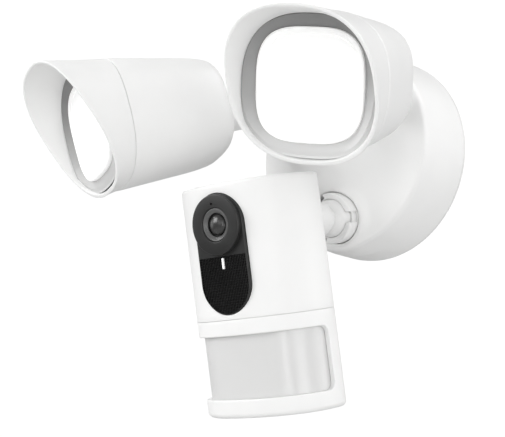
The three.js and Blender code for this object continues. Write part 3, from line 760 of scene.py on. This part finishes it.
cam_ball = frame_at(CAM_BALL, 0, CAM_PITCH)
cam_at = cam_ball @ Matrix.Translation((0, -CAM_REACH, -CAM_DROP))
show(lock_ring(), "camera_lock_ring_skin", "camera_ring", "shell", "camera_lock_ring", at=cam_ball)
show(ball(), "camera_ball_skin", "camera_swivel", "shell", "camera_ball", at=cam_ball)
stem_end = CAM_REACH - CAM_REAR - CAM_BOSS
neck = [
    (8, 11),
    *flowing([(8.1, 12), (10.2, 15), (11.3, 20), (11.8, 30), (12.6, 38), (14.8, stem_end - 0.1)], 5),
    (0, stem_end - 0.1),
]
show(stem(neck), "camera_stem_skin", "camera_arm", "shell", "camera_stem", at=cam_ball)

# The section's outline at equal steps of length, with its outward normals.
t = np.linspace(0, 2 * math.pi, 12000, endpoint=False)
power = np.where(np.sin(t) > 0, 2.7, 2.3)
depth = np.where(np.sin(t) > 0, CAM_REAR, CAM_FRONT)
fine = np.stack([CAM_HALF * np.sign(np.cos(t)) * np.abs(np.cos(t)) ** (2 / power),
                 depth * np.sign(np.sin(t)) * np.abs(np.sin(t)) ** (2 / power)], 1)
loop = np.concatenate([fine, fine[:1]])
walked = np.concatenate([[0], np.cumsum(np.linalg.norm(np.diff(loop, axis=0), axis=1))])


def on_outline(distance):
    d = np.mod(distance, walked[-1])
    return np.stack([np.interp(d, walked, loop[:, 0]), np.interp(d, walked, loop[:, 1])], -1)


def outward(distance):
    span = on_outline(distance + 0.6) - on_outline(distance - 0.6)
    return np.stack([span[..., 1], -span[..., 0]], -1) / np.linalg.norm(span, axis=-1)[..., None]


AROUND = np.arange(240) * walked[-1] / 240
SECTION, NORMAL = on_outline(AROUND), outward(AROUND)


def section(inset, z, scale=1.0):
    flat = (SECTION - NORMAL * inset) * scale
    return np.concatenate([flat, np.full((len(flat), 1), z)], 1)


def arc_rings(radius, z, direction, steps):
    """Rings that round an outer edge: direction is 1 at a top edge and -1 at a bottom edge."""
    out = []
    for k in range(steps + 1):
        angle = math.pi / 2 * k / steps
        out.append(section(radius * (1 - math.cos(angle)), z + direction * radius * math.sin(angle)))
    return out


def tube_with_top():
    top = 2.2
    outer = arc_rings(0.2, 0.25, -1, 3)[::-1]
    outer += [section(0, z) for z in np.linspace(4, CAM_TOP - top - 1, 14)]
    outer += arc_rings(top, CAM_TOP - top, 1, 8)
    outer += [section(top, CAM_TOP + 1.2 * (1 - k ** 2), k) for k in (0.97, 0.9, 0.75, 0.5, 0.25)]
    outer += [np.array([[0, 0, CAM_TOP + 1.2]])]
    inner = [np.array([[0, 0, CAM_TOP - 3]])]
    inner += [section(WALL, z) for z in (CAM_TOP - 3, 40, 2)]
    inner += [section(0.7, z) for z in (2, 0.05)]
    return loft(outer + inner, closed=True)


def behind(y):
    return block((220, 200, 420), (0, y + 100, 0))


def ahead_of(y):
    return block((220, 200, 420), (0, y - 100, 0))


def pill_ring(inset, y):
    angle = np.linspace(0, math.pi, 49)
    radius = PILL_HALF - inset
    top = np.stack([radius * np.cos(angle), radius * np.sin(angle) + PILL_TOP - PILL_HALF], 1)
    low = np.stack([-radius * np.cos(angle), -radius * np.sin(angle) + PILL_BOTTOM + PILL_HALF], 1)
    left = np.linspace(top[-1], low[0], 12)[1:-1]
    right = np.linspace(low[-1], top[0], 12)[1:-1]
    flat = np.concatenate([top, left, low, right])
    return np.stack([flat[:, 0], np.full(len(flat), y), flat[:, 1]], 1)


def pill(inset, start, end):
    return loft([pill_ring(inset, -start), pill_ring(inset, -end)], capped=True)


front_shell = cut(tube_with_top(), behind(SPLIT_Y), pill(-GAP, 20, 60))
show(front_shell, "camera_front_shell_skin", "camera_head", "shell", "camera_front_shell", at=cam_at)

boss_end = -CAM_REAR - CAM_BOSS
boss = turned(rounded([(0, -CAM_REAR + 5), (26, -CAM_REAR + 5), (24.5, -CAM_REAR + 0.6, 1),
                       (20.2, -CAM_REAR - 2.5, 4), (19.4, -CAM_REAR - 8, 8), (16, boss_end, 3),
                       (0, boss_end)], 7), 96)
bore = shifted(rod(5, -CAM_REAR - 20, -SPLIT_Y), 0, 0, CAM_DROP)
holes = [shifted(rod(3.3, -CAM_REAR - 9, -SCREW_SEAT), side * SCREW_X, 0, SCREW_Z) for side in (-1, 1)]
back_cover = cut(tube_with_top(), ahead_of(SPLIT_Y + GAP))
back_cover = cut(join(back_cover, shifted(boss, 0, 0, CAM_DROP)), bore, *holes)
show(back_cover, "camera_back_cover_skin", "camera_head", "shell", "camera_back_cover", at=cam_at)

# Front panel: black pill with a pocket for the grille, a slot for the light and the lens hole.
edge = 0.55
rings = [pill_ring(0, -31.2)]
for k in range(6):
    angle = math.pi / 2 * k / 5
    rings.append(pill_ring(edge * (1 - math.cos(angle)), -(PANEL_FACE - edge + edge * math.sin(angle))))
panel = loft(rings, capped=True)
pocket = cut(pill(0.6, PANEL_FACE - 1.6, PANEL_FACE + 4), block((60, 60, 60), (0, -35, GRILLE_TOP + 30)))
slot_z = (GRILLE_TOP - 0.7 + GRILLE_TOP - 7.8) / 2


def slot_tool(width, height, start, end):
    r = width / 2
    ends = [shifted(rod(r, start, end, 24), 0, 0, slot_z + s * (height / 2 - r)) for s in (-1, 1)]
    return join(block((width, end - start, height - width), (0, -(start + end) / 2, slot_z)), *ends)


panel = cut(panel, pocket, slot_tool(SLOT_WIDTH, SLOT_HEIGHT, 26, 60), shifted(rod(12, 26, 60), 0, 0, DISC_Z))
show(panel, "camera_front_panel_skin", "camera_head", "black", "camera_front_panel", at=cam_at)


def lattice(pitch, rise, upright, rail, face, floor, back):
    """A slab over the grille's area with a lattice of square pockets in its face."""
    shape = bmesh.new()
    columns, rows = int(2 * PILL_HALF / pitch) + 2, int((GRILLE_TOP - PILL_BOTTOM) / rise) + 2
    corners = [[shape.verts.new(((i - columns / 2) * pitch, -face, GRILLE_TOP + 0.4 - j * rise))
                for j in range(rows + 1)] for i in range(columns + 1)]
    cells = [shape.faces.new((corners[i][j], corners[i + 1][j], corners[i + 1][j + 1], corners[i][j + 1]))
             for i in range(columns) for j in range(rows)]
    bmesh.ops.inset_individual(shape, faces=cells, thickness=upright / 2, depth=0)
    for cell in cells:
        middle = cell.calc_center_median()
        for vert in cell.verts:
            vert.co.y = -floor
            vert.co.z += math.copysign((rail - upright) / 2, middle.z - vert.co.z)
    made = bmesh.ops.extrude_edge_only(shape, edges=[e for e in shape.edges if e.is_boundary])["geom"]
    for vert in (g for g in made if isinstance(g, bmesh.types.BMVert)):
        vert.co.y = -back
    bmesh.ops.holes_fill(shape, edges=[e for e in shape.edges if e.is_boundary], sides=0)
    bmesh.ops.recalc_face_normals(shape, faces=shape.faces)
    mesh = bpy.data.meshes.new("lattice")
    shape.to_mesh(mesh)
    shape.free()
    obj = bpy.data.objects.new("lattice", mesh)
    scene.collection.objects.link(obj)
    return obj


area = cut(pill(0.7, PANEL_FACE - 1.4, PANEL_FACE + 2), block((60, 60, 60), (0, -35, GRILLE_TOP + 29.85)))
bars = lattice(1.25, 1.5, 0.4, 0.8, PANEL_FACE - 0.1, PANEL_FACE - 0.6, PANEL_FACE - 1.3)
grille = combine(bars, [area], "INTERSECT")
grille = cut(grille, slot_tool(SLOT_WIDTH, SLOT_HEIGHT, 26, 60))
show(grille, "camera_speaker_grille_skin", "camera_head", "satin", "camera_speaker_grille",
     at=cam_at, sharp=20)
light_bar = slot_tool(1.3, 6.5, CAM_FRONT - 3, PANEL_FACE - 0.05)
show(light_bar, "camera_status_light_skin", "camera_head", "light", "camera_status_light", at=cam_at)

f = DISC_FACE
p = PANEL_FACE + 0.05
disc = turned([*rounded([
    (7.7, 26), (11.6, 26), (11.6, p), (DISC_R - 0.2, p), (DISC_R - 0.2, p + 0.9, 0.15),
    (DISC_R - 0.8, p + 1.05, 0.1), (DISC_R - 0.8, p + 1.45, 0.1), (DISC_R, p + 1.6, 0.15), (DISC_R, f, 1.4),
    (10.4, f, 0.4), (9.9, f - 0.5, 0.2), (9.9, f - 3.2), (7.7, f - 3.2), (7.7, 26),
], 5)], 144)
disc = cut(shifted(disc, 0, 0, DISC_Z), shifted(rod(0.8, f - 3, f + 3, 24), *MIC_HOLE))
show(disc, "camera_lens_disc_skin", "camera_head", "satin", "camera_lens_disc", at=cam_at)
ring = turned(rounded([(7.4, f - 3), (9.7, f - 3), (9.7, f - 0.7, 0.3), (9.2, f - 0.6, 0.3),
                       (6.9, f - 2.1, 0.3), (7.4, f - 2.6, 0.2), (7.4, f - 3)], 5), 96)
show(shifted(ring, 0, 0, DISC_Z), "camera_lens_ring_trim", "camera_head", "graphite", at=cam_at)
dome = [(6.3 * math.sin(t), f - 3.6 + 3.5 * math.cos(t)) for t in np.linspace(0, math.pi / 2, 18)]
dome[0] = (0, f - 0.1)
glass = turned([*dome, (7.3, f - 3.6), (7.3, f - 6.8), (0, f - 6.8)], 72)
show(shifted(glass, 0, 0, DISC_Z), "camera_lens_glass_skin", "camera_head", "glass",
     "camera_lens_glass", at=cam_at)

for side, name in ((-1, "left"), (1, "right")):
    screw = turned(rounded([(0, -2), (1.2, -2), (1.2, -SCREW_SEAT - 0.1), (2.9, -SCREW_SEAT - 0.1),
                            (2.9, -SCREW_SEAT - 1.2, 0.5), (0, -SCREW_SEAT - 1.7, 4)]), 40)
    screw = cut(screw, *cross(3.2, 1.4, SCREW_SEAT + 1.7))
    screw = shifted(screw, side * SCREW_X, 0, SCREW_Z)
    show(screw, f"camera_cover_screw_{name}_skin", "camera_head", "steel",
         f"camera_cover_screw_{name}", at=cam_at)

# Lower housing with the wrap-round window.


def tub():
    low = CAM_BOTTOM
    bottom = [np.array([[0, 0, low - 2.0]])]
    bottom += [section(3.2, low - 2.0 + 0.9 * k ** 2, k) for k in (0.3, 0.6, 0.85, 0.95)]
    bottom += [section(3.2 * (1 - math.cos(a)), low + 2.1 - 3.2 * math.sin(a))
               for a in np.linspace(math.pi / 2, 0, 8)]
    walls = [section(0, z) for z in np.linspace(low + 6, -3, 12)]
    top = arc_rings(0.2, -0.35, 1, 3) + [section(0.9, -0.15), section(0.9, 1.6), section(1.9, 1.6)]
    inner = [section(1.9, -GAP), *(section(WALL + 0.4, z) for z in (-GAP, -30, low + 2.4))]
    return loft(bottom + walls + top + inner + [np.array([[0, 0, low + 2.4]])])


def window_tool(flare=0.7, outside=2.0, inside=5.0):
    centre_z, half_z = (WIN_TOP + WIN_BOTTOM) / 2, (WIN_TOP - WIN_BOTTOM) / 2
    front = walked[int(np.argmin(loop[:, 1]))]
    sides = fine[:, 0] > 0
    edge = walked[int(np.argmin(np.where(sides, np.abs(fine[:, 1] - WIN_REAR), 1e9)))]
    edge = edge + walked[-1] if edge < front else edge
    half_s = edge - front
    tall = np.concatenate([-1 + (1 - np.cos(np.linspace(0, math.pi / 2, 9))) * WIN_CORNER / half_z,
                           np.linspace(-1 + WIN_CORNER / half_z, 1 - WIN_CORNER / half_z, 8)[1:-1],
                           1 - (1 - np.cos(np.linspace(math.pi / 2, 0, 9))) * WIN_CORNER / half_z])
    wide = np.linspace(-1, 1, 81)

    def layer(grow, depth):
        out = np.zeros((len(tall), len(wide), 3))
        for j, v in enumerate(tall):
            corner = WIN_CORNER + grow
            over = max(0.0, abs(v) * (half_z + grow) - (half_z + grow - corner))
            reach = half_s + grow - (corner - math.sqrt(max(corner ** 2 - over ** 2, 0)))
            s = front + wide * reach
            flat = on_outline(s) - outward(s) * depth
            out[j, :, :2] = flat
            out[j, :, 2] = centre_z + v * (half_z + grow)
        return out

    levels = [(flare, -outside)]
    levels += [(flare * (1 - math.sin(a)), flare * (1 - math.cos(a))) for a in np.linspace(0, math.pi / 2, 6)]
    levels.append((0.0, inside))
    layers = [layer(*level) for level in levels]
    rows, cols = len(tall), len(wide)
    edge_loop = [(0, i) for i in range(cols)] + [(j, cols - 1) for j in range(1, rows)]
    edge_loop += [(rows - 1, i) for i in range(cols - 2, -1, -1)] + [(j, 0) for j in range(rows - 2, 0, -1)]
    verts, faces = [], []
    for cap in (layers[0], layers[-1]):
        start = len(verts)
        verts += [tuple(p) for p in cap.reshape(-1, 3)]
        for j in range(rows - 1):
            for i in range(cols - 1):
                a = start + j * cols + i
                faces.append((a, a + 1, a + cols + 1, a + cols))
    loops = [[j * cols + i for j, i in edge_loop]]
    for cap in layers[1:-1]:
        loops.append([len(verts) + k for k in range(len(edge_loop))])
        verts += [tuple(cap[j, i]) for j, i in edge_loop]
    loops.append([rows * cols + j * cols + i for j, i in edge_loop])
    for a, b in zip(loops, loops[1:]):
        n = len(a)
        faces += [(a[k], a[(k + 1) % n], b[(k + 1) % n], b[k]) for k in range(n)]
    return mesh_object(verts, faces)


stand_up = Matrix.Rotation(math.pi / 2, 4, "X")
button_hole = placed(rod(3.4, -30, 30), Matrix.Translation((0, BUTTON_Y, CAM_BOTTOM)) @ stand_up)
housing = cut(tub(), window_tool(), button_hole)
show(housing, "camera_lower_housing_skin", "camera_head", "shell", "camera_lower_housing", at=cam_at)

band = loft([section(WALL + 0.7, z) for z in np.linspace(WIN_BOTTOM - 3, WIN_TOP + 3, 12)]
            + [section(WALL + 1.9, z) for z in (WIN_TOP + 3, WIN_BOTTOM - 3)], closed=True)
show(cut(band, behind(8)), "camera_motion_lens_skin", "camera_head", "pir", "camera_motion_lens", at=cam_at)

low = CAM_BOTTOM
button = turned(rounded([(0, low - 3), (2.3, low - 3, 0.8), (3.1, low - 2.2), (3.1, low + 4),
                         (4.6, low + 4), (4.6, low + 5.2), (0, low + 5.2)]), 48)
button.data.transform(Matrix.Scale(-1, 4, (0, 1, 0)))
button = placed(button, Matrix.Translation((0, BUTTON_Y, 0)) @ stand_up)
show(button, "sync_button_skin", "sync_button", "bezel", "camera_sync_button", at=cam_at)

# ------------------------------------------------------------------------------------ stage

FLOOR_Z, FLOOR_SIZE = -0.75, 60
SKY_LOW, SKY_HIGH, BACKDROP = 0.4, 0.45, 1.05


def pale_floor():
    bpy.ops.mesh.primitive_plane_add(size=FLOOR_SIZE, location=(0, 0, FLOOR_Z))
    floor = bpy.context.object
    floor.name = "floor"
    material, nodes, links, shader = new_material("floor_paper")
    tones(nodes, links, noise(nodes, links, 3), grey(0.57), grey(0.59), shader.inputs["Base Color"])
    shader.inputs["Roughness"].default_value = 0.9
    floor.data.materials.append(material)


def studio_world():
    """Soft grey light, a little stronger from above. The camera sees a plain white backdrop."""
    world = bpy.data.worlds.new("studio")
    scene.world = world
    world.use_nodes = True
    nodes, links = world.node_tree.nodes, world.node_tree.links
    nodes.clear()
    out = nodes.new("ShaderNodeOutputWorld")
    mix = nodes.new("ShaderNodeMixShader")
    seen = nodes.new("ShaderNodeBackground")
    seen.inputs["Color"].default_value = (1, 1, 1, 1)
    seen.inputs["Strength"].default_value = BACKDROP
    glow = nodes.new("ShaderNodeBackground")
    path = nodes.new("ShaderNodeLightPath")
    direction = nodes.new("ShaderNodeTexCoord")
    split = nodes.new("ShaderNodeSeparateXYZ")
    ramp = nodes.new("ShaderNodeValToRGB")
    height = nodes.new("ShaderNodeMapRange")
    height.inputs["From Min"].default_value = -1
    height.inputs["From Max"].default_value = 1
    for element, position, tone in zip(ramp.color_ramp.elements, (0.43, 0.57), (SKY_LOW, SKY_HIGH)):
        element.position = position
        element.color = (tone, tone, tone, 1)
    links.new(direction.outputs["Generated"], split.inputs[0])
    links.new(split.outputs["Z"], height.inputs["Value"])
    links.new(height.outputs[0], ramp.inputs[0])
    links.new(ramp.outputs[0], glow.inputs["Color"])
    links.new(path.outputs["Is Camera Ray"], mix.inputs[0])
    links.new(glow.outputs[0], mix.inputs[1])
    links.new(seen.outputs[0], mix.inputs[2])
    links.new(mix.outputs[0], out.inputs["Surface"])


def softbox(name, position, target, size, watts, tall=None):
    light = bpy.data.lights.new(name, "AREA")
    light.shape = "RECTANGLE"
    light.size = size
    light.size_y = tall or size
    light.energy = watts
    obj = bpy.data.objects.new(name, light)
    scene.collection.objects.link(obj)
    obj.location = position
    obj.rotation_euler = (Vector(target) - Vector(position)).to_track_quat("-Z", "Y").to_euler()


pale_floor()
studio_world()
middle = (0, -0.12, 0)
for name, position, watts in (
    ("front_left", (-0.9, -1.4, 0.5), 11.9),
    ("left_high", (-1.3, -0.5, 1.2), 10.4),
    ("front", (0, -1.7, 0), 1.9),
    ("front_right", (0.9, -1.4, 0.1), 1.9),
    ("left", (-1.5, -0.8, 0.1), 1.9),
    ("top_right", (0.6, -0.7, 1.5), 1.4),
    ("right", (1.7, -0.2, 0.3), 4.0),
    ("right_low", (1.4, -0.8, -0.6), 6.6),
    ("back_high", (0.9, 0.7, 1.3), 9.3),
    ("back_right", (1.5, 0.7, 0.1), 3.8),
):
    softbox(name, position, middle, 0.8, watts)
softbox("strip", (0.73, -1.53, -0.36), (0, -0.14, -0.14), 0.12, 2.4, 0.7)
